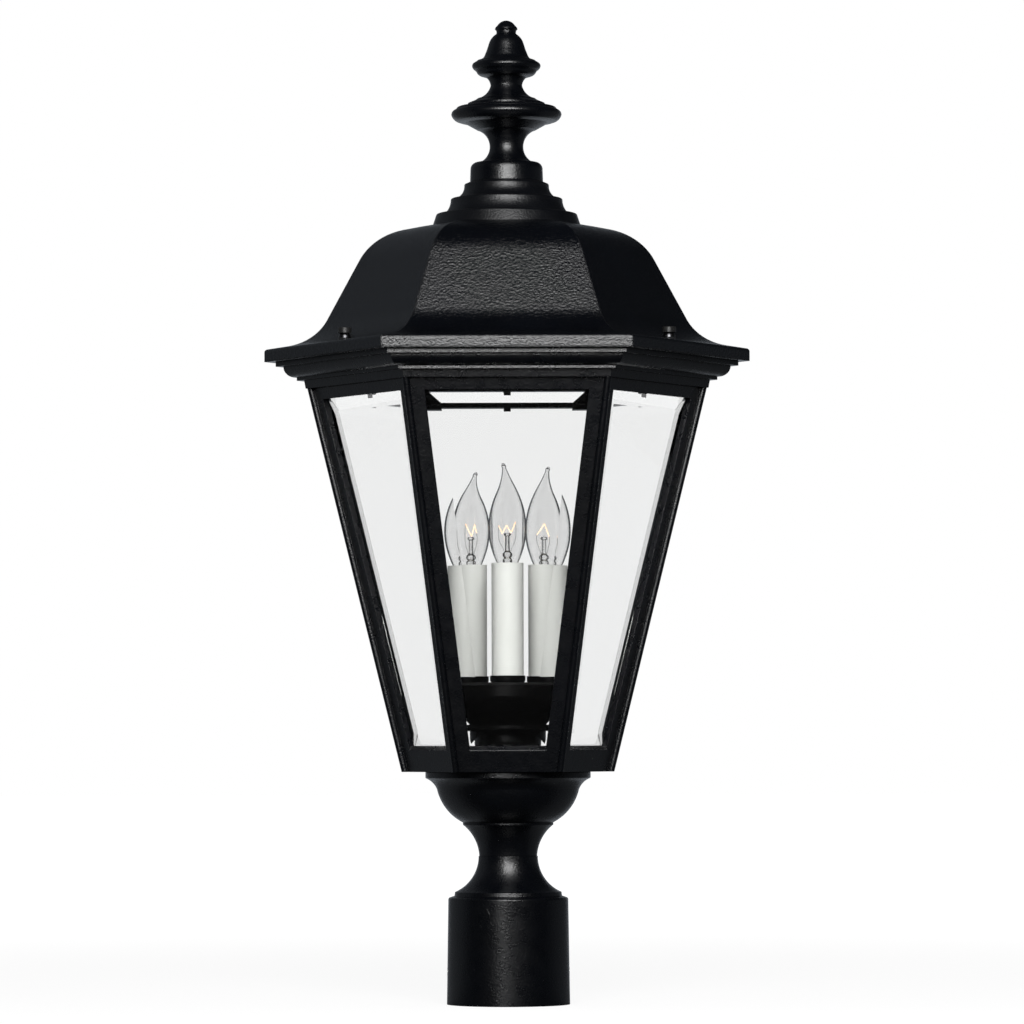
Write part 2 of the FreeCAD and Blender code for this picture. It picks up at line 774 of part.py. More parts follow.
def glass_clips():
    """Clips that hold the panes from inside. The lower ones are flat and screwed to the bottom rail,
    the upper ones hook over the cage's rim, under the crown."""
    body = new_body("glass_clips", "cage_z")
    plate = face_sketch(body, "flat_clip_outline", "frame_depth + clip_thickness")
    foot, head = "clip_screw_line - clip_width / 2", "bottom_rail - flat_clip_setback"
    outline(plate, [
        ("-clip_width / 2", foot),
        ("clip_width / 2", foot),
        ("clip_width / 2", head),
        ("-clip_width / 2", head),
    ])
    circle(plate, "clip_screw_r + slip", "0", "clip_screw_line")
    flat_clip = pad(body, "flat_clip", plate, "clip_thickness")

    hook = new_sketch(body, "hook_section", "YZ_Plane")
    inner_face = "frame_depth + clip_thickness"
    rim = "cage_height - clip_thickness"
    outline(hook, [
        on_face("slant - top_rail - clip_overhang", inner_face),
        on_face("slant - top_rail - clip_overhang", "frame_depth"),
        on_face(f"({rim} - frame_depth * sin(lean)) / cos(lean)", "frame_depth"),
        ("-hook_out", rim),
        ("-hook_out", "cage_height"),
        on_face(f"(cage_height - ({inner_face}) * sin(lean)) / cos(lean)", inner_face),
    ])
    hook_clip = pad(body, "hook_clip", hook, "clip_width", Midplane=True)
    around(body, "clips", [flat_clip, hook_clip], SIDES)


def clip_screws():
    body = new_body("clip_screws", "cage_z")
    heads = face_sketch(body, "head_section", "frame_depth + clip_thickness + clip_screw_head")
    outline(heads, [(across, f"{up} + clip_screw_line")
                    for across, up in ring_of_points("clip_screw_head_r")])
    head = pad(body, "head", heads, "clip_screw_head")
    shanks = face_sketch(body, "shank_section", "frame_depth + clip_thickness")
    circle(shanks, "clip_screw_r", "0", "clip_screw_line")
    shank = pad(body, "shank", shanks, "clip_screw_depth + clip_thickness")
    around(body, "screws", [head, shank], SIDES)


# ---------------------------------------------------------------- crown and roof

def crown_ring():
    body = new_body("crown_ring", "crown_z")
    fillet_z = "frieze_height"
    ovolo_z = "frieze_height + fillet_height"
    cornice_z = "crown_height - cornice_height"
    seat_in = "(cornice_out - crown_seat_width)"
    mitred(body, "crown", "cornice_out", [
        ("crown_inner", "0"),
        ("frieze_foot", "0"),
        ("frieze_head", fillet_z),
        ("fillet_out", fillet_z),
        ("fillet_out", ovolo_z, 0.45),
        ("ovolo_out", cornice_z),
        ("cornice_out", cornice_z),
        ("cornice_out", "crown_height"),
        (seat_in, "crown_height"),
        (seat_in, f"crown_flange + {seat_in} - cage_head_out"),
        ("cage_head_out", "crown_flange"),
        ("crown_inner", "crown_flange"),
    ])
    roof_hole = round_hole(body, "roof_screw_hole", "roof_screw_r + slip", "crown_height",
                           lift="crown_height - roof_screw_depth - slip * 2",
                           up="roof_screw_circle_r")
    around(body, "roof_screw_holes", [roof_hole], len(ROOF_SCREWS))
    cage_hole = round_hole(body, "cage_screw_hole", "crown_screw_r + slip", "crown_flange * 2",
                           lift="-crown_flange / 2",
                           across="cage_head_corner_r - crown_screw_inset")
    around(body, "cage_screw_holes", [cage_hole], SIDES // 2)


def crown_screws():
    body = new_body("crown_screws", "crown_z")
    place = "cage_head_corner_r - crown_screw_inset"
    heads = new_sketch(body, "head_section", "XY_Plane", lift="crown_flange")
    outline(heads, [(f"{across} + {place}", up) for across, up in ring_of_points("crown_screw_head_r")])
    head = pad(body, "head", heads, "crown_screw_head")
    shank = round_bar(body, "shank", "crown_screw_r", "crown_screw_depth + crown_flange",
                      "-crown_screw_depth", place)
    around(body, "screws", [head, shank], SIDES // 2)


def roof_shell():
    """The swept roof: an ogee section mitred round six hips, with a round hub at its crown."""
    body = new_body("roof_shell", "roof_z")

    def inside(out, rise, slope):
        return (f"{out} - roof_wall * sin({slope})", f"{rise} - roof_wall * cos({slope})")

    flare_bulge = math.tan(math.radians(value("side_slope") - value("flare_slope")) / 4)
    shoulder_bulge = math.tan(math.radians(value("side_slope") - value("plateau_slope")) / 4)
    eave_bulge = math.tan(math.radians(90 - value("flare_slope")) / 4)
    land_in = "flare_foot_out + roof_wall"
    mitred(body, "roof", "eave_out", [
        (land_in, "0"),
        ("eave_out", "0"),
        ("eave_out", "eave_height - eave_round", eave_bulge),
        ("eave_out - eave_round", "eave_height"),
        ("flare_foot_out", "flare_foot_rise", -flare_bulge),
        ("flare_head_out", "flare_head_rise"),
        ("shoulder_foot_out", "shoulder_foot_rise", shoulder_bulge),
        ("shoulder_head_out", "shoulder_head_rise"),
        ("plateau_out", "roof_height"),
        ("hub_r - roof_wall", "roof_height"),
        ("hub_r - roof_wall", "roof_height - roof_wall"),
        ("plateau_out", "roof_height - roof_wall"),
        inside("shoulder_head_out", "shoulder_head_rise", "plateau_slope") + (-shoulder_bulge,),
        inside("shoulder_foot_out", "shoulder_foot_rise", "side_slope"),
        inside("flare_head_out", "flare_head_rise", "side_slope") + (flare_bulge,),
        inside("flare_foot_out", "flare_foot_rise", "flare_slope"),
        (land_in, "flare_foot_rise - roof_wall"),
    ])
    round_bar(body, "hub", "hub_r", "roof_wall", "roof_height - roof_wall")
    boss = round_bar(body, "screw_boss", "roof_boss_r", "roof_screw_seat", "0", up="roof_screw_circle_r")
    spot = round_hole(body, "spot_face", "spot_face_r", "roof_height", "roof_screw_seat",
                      up="roof_screw_circle_r")
    bore = round_hole(body, "screw_hole", "roof_screw_r + slip", "roof_screw_seat * 2", "-roof_wall",
                      up="roof_screw_circle_r")
    around(body, "screw_seats", [boss, spot, bore], len(ROOF_SCREWS))
    round_hole(body, "stud_hole", "stud_hole_r", "roof_wall * 2", "roof_height - roof_wall * 1.5")


def roof_screw(name, bearing):
    body = new_body("roof_screw_" + name, "screw_seat_z + dome_height", out="roof_screw_circle_r",
                    bearing=bearing)
    round_bar(body, name + "_shank", "roof_screw_r", "roof_screw_seat + roof_screw_depth + dome_height",
              "-(roof_screw_seat + roof_screw_depth + dome_height)")
    turned(body, name + "_head", [
        ("0", "0"),
        ("roof_screw_head_r", "0"),
        ("roof_screw_head_r", "roof_screw_head - edge_break"),
        ("roof_screw_head_r - edge_break", "roof_screw_head"),
        ("0", "roof_screw_head"),
    ])
    slot = new_sketch(body, name + "_slot_section", "XY_Plane", lift="roof_screw_head - driver_slot_depth")
    outline(slot, [
        ("-roof_screw_head_r * 2", "-driver_slot / 2"),
        ("roof_screw_head_r * 2", "-driver_slot / 2"),
        ("roof_screw_head_r * 2", "driver_slot / 2"),
        ("-roof_screw_head_r * 2", "driver_slot / 2"),
    ])
    pocket(body, name + "_slot", slot, "roof_screw_head", Reversed=True)


def roof_screw_washers():
    """Domed washers, one under each roof screw's head."""
    body = new_body("roof_screw_washers", "screw_seat_z")
    profile = new_sketch(body, "dome_section", "YZ_Plane")
    outline(profile, [
        ("roof_screw_circle_r + roof_screw_r + slip", "0"),
        ("roof_screw_circle_r + dome_r", "0", 0.2),
        ("roof_screw_circle_r + dome_top_r", "dome_height"),
        ("roof_screw_circle_r + roof_screw_r + slip", "dome_height"),
    ])
    axis = new_sketch(body, "dome_axis", "YZ_Plane")
    axis.addGeometry(Part.LineSegment(VECTOR(value("roof_screw_circle_r"), 0, 0),
                                      VECTOR(value("roof_screw_circle_r"), 10, 0)), False)
    axis.addConstraint(Sketcher.Constraint("Vertical", 0))
    constraints, bound = [], []
    pin_point(axis, 0, 1, "roof_screw_circle_r", "0", constraints, bound)
    close_off(axis, constraints, bound)
    dome = feature(body, "Revolution", "dome", profile, ReferenceAxis=(axis, ["Edge1"]), Angle=360)
    around(body, "domes", [dome], len(ROOF_SCREWS))


# ---------------------------------------------------------------- stepped base and finial

def stepped_base():
    body = new_body("stepped_base", "base_z")
    turned(body, "steps", [("stud_hole_r", "0")] + STEPS + [
        ("collar_foot_r", "base_height"),
        ("stud_hole_r", "base_height"),
    ])


def finial():
    """The turned finial: collar, stem, dish and disc, neck, ball, spire, and a domed button on top."""
    body = new_body("finial", "finial_z")
    dome_bulge = math.tan(math.atan(value("button_rise") / value("button_r")) / 2)
    dome_z = "brim_top_z + button_foot_rise"
    turned(body, "finial_turning", [("0", "0")] + FINIAL_OUTSIDE + [
        ("button_r", dome_z, dome_bulge),
        ("0", f"{dome_z} + button_rise"),
    ])
    round_hole(body, "stud_socket", "stud_hole_r", "stud_reach + sliding_gap")


# ---------------------------------------------------------------- candle cluster

def pedestal_cup():
    body = new_body("pedestal_cup", "cluster_z")
    inner = "pedestal_foot_r - pedestal_wall"
    turned(body, "pedestal", [
        (inner, "0"),
        ("pedestal_foot_r", "0"),
        ("pedestal_foot_r", "pedestal_waist", 0.2),
        ("pedestal_r", "pedestal_waist + pedestal_swell"),
        ("pedestal_r", "pedestal_height"),
        ("nipple_hole_r", "pedestal_height"),
        ("nipple_hole_r", "pedestal_height - pedestal_wall"),
        (inner, "pedestal_height - pedestal_wall"),
    ])


def flange_disc():
    body = new_body("flange_disc", "flange_z")
    turned(body, "flange", [
        ("nipple_hole_r", "0"),
        ("flange_r - flange_thickness / 4", "0"),
        ("flange_r", "flange_thickness / 4"),
        ("flange_r", "flange_thickness * 3 / 4"),
        ("flange_r - flange_thickness / 4", "flange_thickness"),
        ("nipple_hole_r", "flange_thickness"),
    ])


def cluster_bowl():
    body = new_body("cluster_bowl", "bowl_z")
    turned(body, "bowl", [
        ("nipple_hole_r", "0"),
        ("bowl_foot_r", "0"),
        ("bowl_waist_r", "bowl_waist_rise", 0.15),
        ("drum_r", "bowl_height"),
        ("drum_r", "bowl_height + drum_height"),
        ("drum_r - drum_wall", "bowl_height + drum_height"),
        ("drum_r - drum_wall", "bowl_height", -0.15),
        ("bowl_waist_r - drum_wall", "bowl_waist_rise + drum_wall"),
        ("bowl_foot_r - drum_wall", "bowl_floor"),
        ("nipple_hole_r", "bowl_floor"),
    ])


def cluster_cover():
    body = new_body("cluster_cover", "cover_z")
    turned(body, "cover", [
        ("0", "-cover_spigot"),
        ("drum_r - drum_wall - slip", "-cover_spigot"),
        ("drum_r - drum_wall - slip", "0"),
        ("drum_r", "0"),
        ("drum_r", "cover_thickness / 2"),
        ("drum_r - cover_thickness / 2", "cover_thickness"),
        ("0", "cover_thickness"),
    ])
    hole = round_hole(body, "riser_hole", "nipple_hole_r", "cover_thickness * 4", "-cover_thickness * 2",
                      up="-candle_circle_r")
    around(body, "riser_holes", [hole], len(CANDLES))


def candle_cup(name, bearing):
    body = new_body("candle_cup_" + name, "cup_z", out="candle_circle_r", bearing=bearing)
    turned(body, name + "_cup", [
        ("nipple_hole_r", "0"),
        ("cup_r - cup_floor / 2", "0"),
        ("cup_r", "cup_floor / 2"),
        ("cup_r", "cup_height"),
        ("sleeve_r + slip / 2", "cup_height"),
        ("sleeve_r + slip / 2", "cup_floor"),
        ("nipple_hole_r", "cup_floor"),
    ])


def riser_tubes():
    """Threaded tubes that carry the sockets, standing in the cluster's cover."""
    body = new_body("riser_tubes", "cover_z - riser_below_cover")
    ring = new_sketch(body, "riser_section", "XY_Plane")
    circle(ring, "nipple_r", up="-candle_circle_r")
    circle(ring, "nipple_bore_r", up="-candle_circle_r")
    riser = pad(body, "riser", ring, "socket_z + socket_grip - cover_z + riser_below_cover")
    around(body, "risers", [riser], len(CANDLES))


def riser_nuts():
    body = new_body("riser_nuts", "cover_z - cover_spigot - riser_nut_height")
    ring = new_sketch(body, "riser_nut_section", "XY_Plane")
    corner = "riser_nut_flats / 2 / cos(30 deg)"
    outline(ring, [(across, f"{up} - candle_circle_r") for across, up in ring_of_points(corner)])
    circle(ring, "nipple_hole_r", up="-candle_circle_r")
    nut = pad(body, "riser_nut", ring, "riser_nut_height")
    around(body, "nuts", [nut], len(CANDLES))


def lamp_socket(name, bearing):
    """A candelabra socket: an insulating body that screws on the riser and holds a brass shell."""
    body = new_body("lamp_socket_" + name, "socket_z", out="candle_circle_r", bearing=bearing)
    turned(body, name + "_socket", [
        ("nipple_hole_r", "0"),
        ("socket_r", "0"),
        ("socket_r", "socket_length"),
        ("socket_mouth_r", "socket_length"),
        ("socket_mouth_r", "socket_length - socket_mouth_depth"),
        ("socket_bore_r", "socket_length - socket_mouth_depth"),
        ("socket_bore_r", "socket_floor"),
        ("bulb_contact_r", "socket_floor"),
        ("bulb_contact_r", "socket_grip"),
        ("nipple_hole_r", "socket_grip"),
    ])


def socket_shells():
    """The screw shells inside the sockets."""
    body = new_body("socket_shells", "socket_z + socket_floor")
    ring = new_sketch(body, "shell_section", "XY_Plane")
    circle(ring, "socket_bore_r - slip / 4", up="-candle_circle_r")
    circle(ring, "socket_bore_r - slip / 4 - shell_wall", up="-candle_circle_r")
    shell = pad(body, "shell", ring, "shell_length")
    around(body, "shells", [shell], len(CANDLES))


def socket_leads():
    """Flat twin leads, one down each riser into the bowl."""
    body = new_body("socket_leads", "cover_z - riser_below_cover - lead_tail")
    section = new_sketch(body, "lead_section", "XY_Plane")
    outline(section, [
        ("-lead_r", "-candle_circle_r - lead_r"),
        ("lead_r", "-candle_circle_r - lead_r", 0.6),
        ("lead_r", "-candle_circle_r + lead_r"),
        ("-lead_r", "-candle_circle_r + lead_r", 0.6),
    ])
    lead = pad(body, "lead", section,
               "socket_z + socket_grip - cover_z + riser_below_cover + lead_tail")
    around(body, "leads", [lead], len(CANDLES))


# ---------------------------------------------------------------- bulbs

def bulb_glass(name, bearing, bend):
    """A clear flame-tip envelope, hollow up to its tip, which is drawn to one side."""
    body = new_body(f"bulb_{name}_glass", "glass_z", out="candle_circle_r", bearing=bearing)
    turned(body, name + "_envelope", [
        ("bulb_base_r - slip - bulb_wall", "0"),
        ("bulb_base_r - slip", "0"),
        ("bulb_neck_r", "bulb_neck_rise", 0.112),
        ("bulb_belly_r", "bulb_belly_rise", 0.108),
        ("bulb_shoulder_r", "bulb_shoulder_rise"),
        ("bulb_tip_r", "bulb_tip_rise"),
        ("0", "bulb_tip_rise"),
        ("0", "bulb_tip_rise - bulb_wall"),
        ("bulb_tip_r - bulb_wall", "bulb_tip_rise - bulb_wall"),
        ("bulb_shoulder_r - bulb_wall", "bulb_shoulder_rise", -0.108),
        ("bulb_belly_r - bulb_wall", "bulb_belly_rise", -0.112),
        ("bulb_neck_r - bulb_wall", "bulb_neck_rise"),
    ])
    foot = new_sketch(body, name + "_tip_foot", "XY_Plane", lift="bulb_tip_rise")
    circle(foot, "bulb_tip_r")
    end = new_sketch(body, name + "_tip_end", "XY_Plane", lift="bulb_length")
    circle(end, "bulb_tip_end_r", across=f"{bend} * bulb_tip_bend")
    lofted(body, name + "_tip", "AdditiveLoft", foot, end)


def bulb_base(name, bearing):
    body = new_body(f"bulb_{name}_base", "bulb_z", out="candle_circle_r", bearing=bearing)
    turned(body, name + "_base", [
        ("0", "-bulb_contact_length"),
        ("bulb_contact_r", "-bulb_contact_length"),
        ("bulb_contact_r", "0"),
        ("bulb_base_r", "bulb_base_cone"),
        ("bulb_base_r", "bulb_base_length"),
        ("0", "bulb_base_length"),
    ])


def bulb_stem(name, bearing):
    """The flared glass foot inside the envelope and the rod that rises from it."""
    body = new_body(f"bulb_{name}_stem", "glass_z", out="candle_circle_r", bearing=bearing)
    turned(body, name + "_stem", [
        ("0", "0"),
        ("stem_flare_r", "0"),
        ("stem_rod_r", "stem_flare_rise"),
        ("stem_rod_r", "stem_rod_rise"),
        ("0", "stem_rod_rise"),
    ])


def bulb_filament(name, bearing):
    """Two support wires and the zigzag filament between them, bent from one path."""
    body = new_body(f"bulb_{name}_filament", "glass_z", out="candle_circle_r", bearing=bearing)
    path = new_sketch(body, name + "_wire_path")
    span, foot = "filament_span", "stem_flare_rise"
    low, high = "filament_rise", "(filament_rise + filament_height)"
    wire = [
        ("-" + span, foot), ("-" + span, high), (f"-{span} / 2", low), ("0", high),
        (f"{span} / 2", low), (span, high), (span, foot),
    ]
    points = [VECTOR(value(x), value(y), 0) for x, y in wire]
    constraints, bound = [], []
    for i, (start, end) in enumerate(zip(points, points[1:])):
        path.addGeometry(Part.LineSegment(start, end), False)
        if i:
            constraints.append(Sketcher.Constraint("Coincident", i - 1, 2, i, 1))
    for i, (across, up) in enumerate(wire[:-1]):
        pin_point(path, i, 1, across, up, constraints, bound)
    pin_point(path, len(wire) - 2, 2, wire[-1][0], wire[-1][1], constraints, bound)
    close_off(path, constraints, bound)
    profile = new_sketch(body, name + "_wire_section", "XY_Plane", lift=foot)
    outline(profile, [(f"{across} - {span}", up) for across, up in ring_of_points("filament_wire_r")])
    pipe = feature(body, "AdditivePipe", name + "_wire", profile, Transition="Right corner")
    pipe.Spine = (path, [])


# ---------------------------------------------------------------- the assembly

post_fitter()
for name, bearing in SET_SCREWS.items():
    set_screw(name, bearing)
washer("nipple_washer", "fitter_ceiling - nipple_washer", "nipple_washer_r", "nipple_hole_r",
       "nipple_washer")
ring_nut("lower_locknut", "lower_nut_z", "locknut_flats", "locknut_height", "nipple_hole_r")
tube("center_nipple", "nipple_z", "nipple_r", "nipple_bore_r",
     "bowl_z + bowl_floor + locknut_height + nipple_end - nipple_z")
ring_nut("upper_locknut", "bowl_z + bowl_floor", "locknut_flats", "locknut_height", "nipple_hole_r")
neck_bell()

lantern_cage()
for index, name in enumerate(PANES):
    glass_pane(name, 60 * index)
glass_clips()
clip_screws()
crown_ring()
crown_screws()

roof_shell()
roof_screw_washers()
for name, bearing in ROOF_SCREWS.items():
    roof_screw(name, bearing)
stepped_base()
finial()
rod("finial_stud", "base_z - roof_wall - stud_below_hub", "stud_r",
    "roof_wall + stud_below_hub + base_height + stud_reach")
washer("stud_washer", "base_z - roof_wall - stud_washer", "stud_washer_r", "stud_hole_r", "stud_washer")
ring_nut("stud_nut", "base_z - roof_wall - stud_washer - stud_nut_height", "stud_nut_flats",
         "stud_nut_height", "stud_hole_r")

pedestal_cup()
flange_disc()
cluster_bowl()
cluster_cover()
riser_tubes()
riser_nuts()
socket_shells()
socket_leads()
for name, bearing in CANDLES.items():
    candle_cup(name, bearing)
    tube("candle_sleeve_" + name, "sleeve_z", "sleeve_r", "sleeve_r - sleeve_wall", "sleeve_length",
         out="candle_circle_r", bearing=bearing)
    lamp_socket(name, bearing)
    bulb_glass(name, bearing, -1 if name == "front" else 1)
    bulb_base(name, bearing)
    bulb_stem(name, bearing)
    bulb_filament(name, bearing)

doc.recompute()

faults = [f"{obj.Label}: {obj.State}" for obj in doc.Objects
          if "Invalid" in obj.State or "Error" in obj.State]
faults += [f"{body.Label}: no valid solid" for body in sub_parts
           if body.Shape.isNull() or not body.Shape.isValid() or not body.Shape.Solids]
if faults:
    raise RuntimeError("; ".join(faults))

os.makedirs("parts", exist_ok=True)
for body in sub_parts:
    body.Shape.exportStep(f"parts/{body.Label}.step")
print(len(sub_parts), "sub-parts written")
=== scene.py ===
"""Looks of a six-sided post top lantern: materials, finer bulbs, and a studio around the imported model."""

import json
import math

import bmesh
import bpy
from mathutils import Matrix, Vector


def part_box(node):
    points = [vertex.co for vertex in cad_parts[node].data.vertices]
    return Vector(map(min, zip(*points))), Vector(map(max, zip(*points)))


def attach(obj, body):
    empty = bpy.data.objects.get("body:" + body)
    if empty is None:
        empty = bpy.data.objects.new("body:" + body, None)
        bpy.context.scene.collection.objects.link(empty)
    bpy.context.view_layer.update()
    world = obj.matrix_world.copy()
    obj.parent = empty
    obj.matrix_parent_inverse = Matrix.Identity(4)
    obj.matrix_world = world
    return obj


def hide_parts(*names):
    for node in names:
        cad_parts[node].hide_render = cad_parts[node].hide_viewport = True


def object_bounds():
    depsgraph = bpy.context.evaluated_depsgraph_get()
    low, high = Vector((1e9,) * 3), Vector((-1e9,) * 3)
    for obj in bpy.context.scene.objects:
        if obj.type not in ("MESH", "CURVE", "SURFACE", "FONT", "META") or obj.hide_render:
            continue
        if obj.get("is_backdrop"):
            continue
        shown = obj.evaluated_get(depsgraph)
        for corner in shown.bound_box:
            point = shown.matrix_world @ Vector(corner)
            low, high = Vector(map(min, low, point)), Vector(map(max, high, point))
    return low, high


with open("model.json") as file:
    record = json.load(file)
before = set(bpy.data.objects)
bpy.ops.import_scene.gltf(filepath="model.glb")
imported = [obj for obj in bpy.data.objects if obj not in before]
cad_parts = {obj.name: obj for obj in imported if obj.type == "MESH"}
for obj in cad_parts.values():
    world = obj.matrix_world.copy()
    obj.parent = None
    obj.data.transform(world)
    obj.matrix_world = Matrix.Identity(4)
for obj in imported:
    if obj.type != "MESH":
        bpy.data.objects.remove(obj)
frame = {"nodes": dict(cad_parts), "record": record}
cad_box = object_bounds()
nodes = frame["nodes"]

MM = 0.001
BULBS = ("front", "left", "right")
WHITE = (1, 1, 1)


# ---------------------------------------------------------------- shader trees

class Tree:
    """Shorthand for the nodes of one shader tree."""

    def __init__(self, tree):
        self.tree = tree

    def feed(self, socket, value):
        """Links an output to the socket, or sets the socket to a plain value."""
        if isinstance(value, bpy.types.NodeSocket):
            self.tree.links.new(value, socket)
        else:
            socket.default_value = value

    def add(self, kind, **inputs):
        """A new node with these inputs. An underscore in a name stands for a space."""
        node = self.tree.nodes.new(kind)
        for socket, value in inputs.items():
            self.feed(node.inputs[socket.replace("_", " ")], value)
        return node

    def math(self, operation, first, second):
        node = self.tree.nodes.new("ShaderNodeMath")
        node.operation = operation
        self.feed(node.inputs[0], first)
        self.feed(node.inputs[1], second)
        return node.outputs[0]

    def vector(self, operation, *values):
        node = self.tree.nodes.new("ShaderNodeVectorMath")
        node.operation = operation
        for socket, value in zip(node.inputs, values):
            self.feed(socket, value)
        return node

    def split(self, vector):
        """The x, y and z of a vector."""
        parts = self.add("ShaderNodeSeparateXYZ", Vector=vector).outputs
        return parts["X"], parts["Y"], parts["Z"]

    def step(self, value, low, high, start, end):
        """A smooth change from start to end while value goes from low to high."""
        node = self.add("ShaderNodeMapRange", Value=value, From_Min=low, From_Max=high,
                        To_Min=start, To_Max=end)
        node.interpolation_type = "SMOOTHSTEP"
        return node.outputs[0]

    def ramp(self, factor, *stops):
        """A colour ramp. Each stop is a place from 0 to 1 and a colour or a grey."""
        node = self.add("ShaderNodeValToRGB", Fac=factor)
        band = node.color_ramp
        while len(band.elements) < len(stops):
            band.elements.new(0.5)
        for element, (place, tone) in zip(band.elements, stops):
            element.position = place
            element.color = (*(tone if isinstance(tone, tuple) else (tone,) * 3), 1)
        return node.outputs["Color"]


class Nodes(Tree):
    """A material's node tree with its Principled shader."""

    def __init__(self, name, **shader):
        self.material = bpy.data.materials.new(name)
        self.material.use_nodes = True
        super().__init__(self.material.node_tree)
        self.shader = self.tree.nodes["Principled BSDF"]
        self.where = self.tree.nodes.new("ShaderNodeTexCoord").outputs["Object"]
        self.set(**shader)

    def set(self, **inputs):
        for socket, value in inputs.items():
            self.feed(self.shader.inputs[socket.replace("_", " ")], value)

    def noise(self, size, detail=3.0, roughness=0.55, stretch=(1, 1, 1), turn=(0, 0, 0)):
        """Noise whose features measure about `size` metres."""
        spot = self.add("ShaderNodeMapping", Vector=self.where, Rotation=turn)
        spot = self.add("ShaderNodeMapping", Vector=spot.outputs[0], Scale=stretch)
        return self.add("ShaderNodeTexNoise", Vector=spot.outputs[0], Scale=1 / size, Detail=detail,
                        Roughness=roughness).outputs["Fac"]

    def patches(self, size, low, high, detail=3.0):
        """A tone that drifts between two others in patches of about `size` metres."""
        return self.ramp(self.noise(size, detail), (0.3, low), (0.7, high))

    def mix(self, factor, first, second):
        """A colour between an output and a plain colour."""
        node = self.add("ShaderNodeMix")
        node.data_type = "RGBA"
        self.feed(node.inputs["Factor"], factor)
        # a Mix node's sockets 6 and 7 are its two colours, and output 2 is their mix
        self.feed(node.inputs[6], first)
        self.feed(node.inputs[7], (*second, 1))
        return node.outputs[2]

    def bump(self, height, depth, normal=None):
        """A bump of `depth` metres from a height between 0 and 1."""
        node = self.add("ShaderNodeBump", Height=height, Distance=depth, Strength=1.0)
        if normal:
            self.feed(node.inputs["Normal"], normal)
        return node.outputs["Normal"]

    def soft_edges(self, radius):
        """A normal that rounds sharp edges off."""
        return self.add("ShaderNodeBevel", Radius=radius).outputs["Normal"]

    def edge_mask(self, softened):
        """One along sharp edges, nothing elsewhere."""
        plain = self.add("ShaderNodeNewGeometry").outputs["Normal"]
        return self.step(self.vector("DOT_PRODUCT", softened, plain).outputs["Value"], 0.80, 0.98, 1, 0)

    def clear_to_lamps(self):
        """Lets light from the lamps pass, as thin glass does."""
        path = self.add("ShaderNodeLightPath")
        clear = self.add("ShaderNodeBsdfTransparent")
        mix = self.add("ShaderNodeMixShader", Fac=path.outputs["Is Shadow Ray"])
        self.feed(mix.inputs[1], self.shader.outputs[0])
        self.feed(mix.inputs[2], clear.outputs[0])
        self.feed(self.tree.nodes["Material Output"].inputs["Surface"], mix.outputs[0])


# ---------------------------------------------------------------- materials

COAT_TONE = 0.0011
COAT_TINT = (0.7, 1.0, 1.8)
DUST = 1.6
RUBBED_COAT = (0.014, 0.015, 0.018)
DUST_SIZE = 45 * MM
SATIN_SIZE = 9 * MM
RUBBED_SIZE = 2.5 * MM
PEEL_SIZE = 6 * MM
PEEL_DEPTH = 0.05 * MM
HAIRLINE_SIZE = 1.2 * MM
HAIRLINE_DEPTH = 0.05 * MM
HAIRLINE_TURN = math.radians(38)


def hairlines(m, normal):
    """Long thin scratches here and there, added to a normal."""
    lines = m.noise(HAIRLINE_SIZE, detail=1.0, stretch=(1, 1, 0.05), turn=(0, HAIRLINE_TURN, 0))
    places = m.step(m.noise(30 * MM, detail=1.0), 0.52, 0.60, 0, 1)
    return m.bump(m.math("MULTIPLY", m.step(lines, 0.64, 0.70, 0, -1), places), HAIRLINE_DEPTH, normal)


def powder_coat(name, grain_size, grain_depth, edge, gloss=(0.25, 0.33), dull_edge=0.0, scratched=False):
    """Satin black powder coat over a sandy casting, with a little dust and rubbed edges.

    `edge` is the radius of its softened edges, `gloss` its least and most roughness, and `dull_edge`
    the roughness that its edges have on top of that.
    """
    m = Nodes(name, Specular_IOR_Level=0.6)
    softened = m.soft_edges(edge)
    peel = m.bump(m.noise(PEEL_SIZE, detail=1.0), PEEL_DEPTH, softened)
    normal = m.bump(m.noise(grain_size, detail=2.0, roughness=0.6), grain_depth, peel)
    if scratched:
        normal = hairlines(m, normal)
    at_edge = m.edge_mask(softened)
    rubbed = m.math("MULTIPLY", at_edge, m.step(m.noise(RUBBED_SIZE), 0.62, 0.72, 0, 1))
    clean, dusty = (tuple(tint * tone for tint in COAT_TINT) for tone in (COAT_TONE, COAT_TONE * DUST))
    satin = m.ramp(m.noise(SATIN_SIZE), (0.3, gloss[0]), (0.75, gloss[1]))
    m.set(Normal=normal,
          Base_Color=m.mix(rubbed, m.patches(DUST_SIZE, clean, dusty, detail=4.0), RUBBED_COAT),
          Roughness=m.math("ADD", satin, m.math("MULTIPLY", at_edge, dull_edge)))
    return m.material


def smooth_black(name, tone, roughness, edge=0.6 * MM, specular=0.4):
    """Spun or sprung metal in a smooth satin black."""
    m = Nodes(name, Specular_IOR_Level=specular)
    m.set(Base_Color=m.patches(12 * MM, tone * 0.8, tone * 1.3),
          Roughness=m.patches(4 * MM, roughness * 0.9, roughness * 1.15),
          Normal=m.bump(m.noise(1.6 * MM, detail=1.0), 0.015 * MM, m.soft_edges(edge)))
    return m.material


def plain_metal(name, colour, roughness):
    """Worked metal with fine scratches."""
    m = Nodes(name, Metallic=1.0)
    scratches = m.noise(0.6 * MM, stretch=(1, 1, 0.15))
    m.set(Base_Color=m.patches(5 * MM, tuple(channel * 0.75 for channel in colour), colour),
          Roughness=m.ramp(scratches, (0.3, roughness * 0.8), (0.7, roughness * 1.2)),
          Normal=m.bump(scratches, 0.01 * MM, m.soft_edges(0.2 * MM)))
    return m.material


